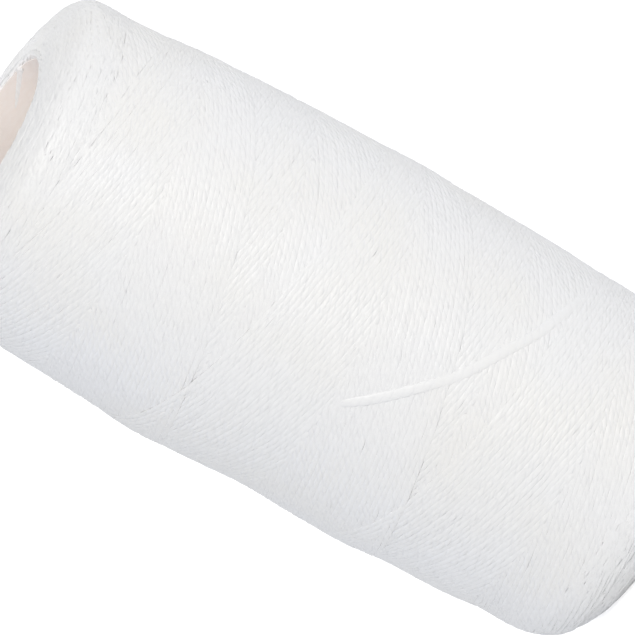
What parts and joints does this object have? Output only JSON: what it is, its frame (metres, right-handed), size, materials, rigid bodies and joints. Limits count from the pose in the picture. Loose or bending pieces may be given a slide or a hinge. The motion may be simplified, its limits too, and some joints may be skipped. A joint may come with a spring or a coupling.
{
  "type": "waxed thread spool",
  "caption": "Spool of waxed sewing thread, cross-wound in a barrel-shaped package on a plain paper tube with no flanges.",
  "frame": {"origin": "centre of the package's lower end face, on the tube's axis, where the spool stands", "axes": "+Z along the tube from the standing end to the other end; -Y towards the side that carries the finishing end"},
  "size_m": [0.0419, 0.0429, 0.088],
  "materials": {
    "tube_liner_ply": "smooth uncoated paper, pale pinkish beige",
    "tube_board_ply": "raw paper board, seen only on the cut end",
    "tube_wrap_ply": "uncoated paper, roughened to grip the first turns",
    "thread_bulk": "packed white waxed polyester thread",
    "thread_outer_turns": "white waxed twisted thread, soft sheen",
    "thread_finishing_end": "white waxed twisted thread, soft sheen",
    "thread_starting_end": "white waxed twisted thread, soft sheen"
  },
  "bodies": {
    "root": {"tube_liner_ply": "tube_liner_ply", "tube_board_ply": "tube_board_ply", "tube_wrap_ply": "tube_wrap_ply", "thread_bulk": "thread_bulk", "thread_outer_turns": "thread_outer_turns", "thread_finishing_end": "thread_finishing_end", "thread_starting_end": "thread_starting_end"}
  },
  "joints": []
}
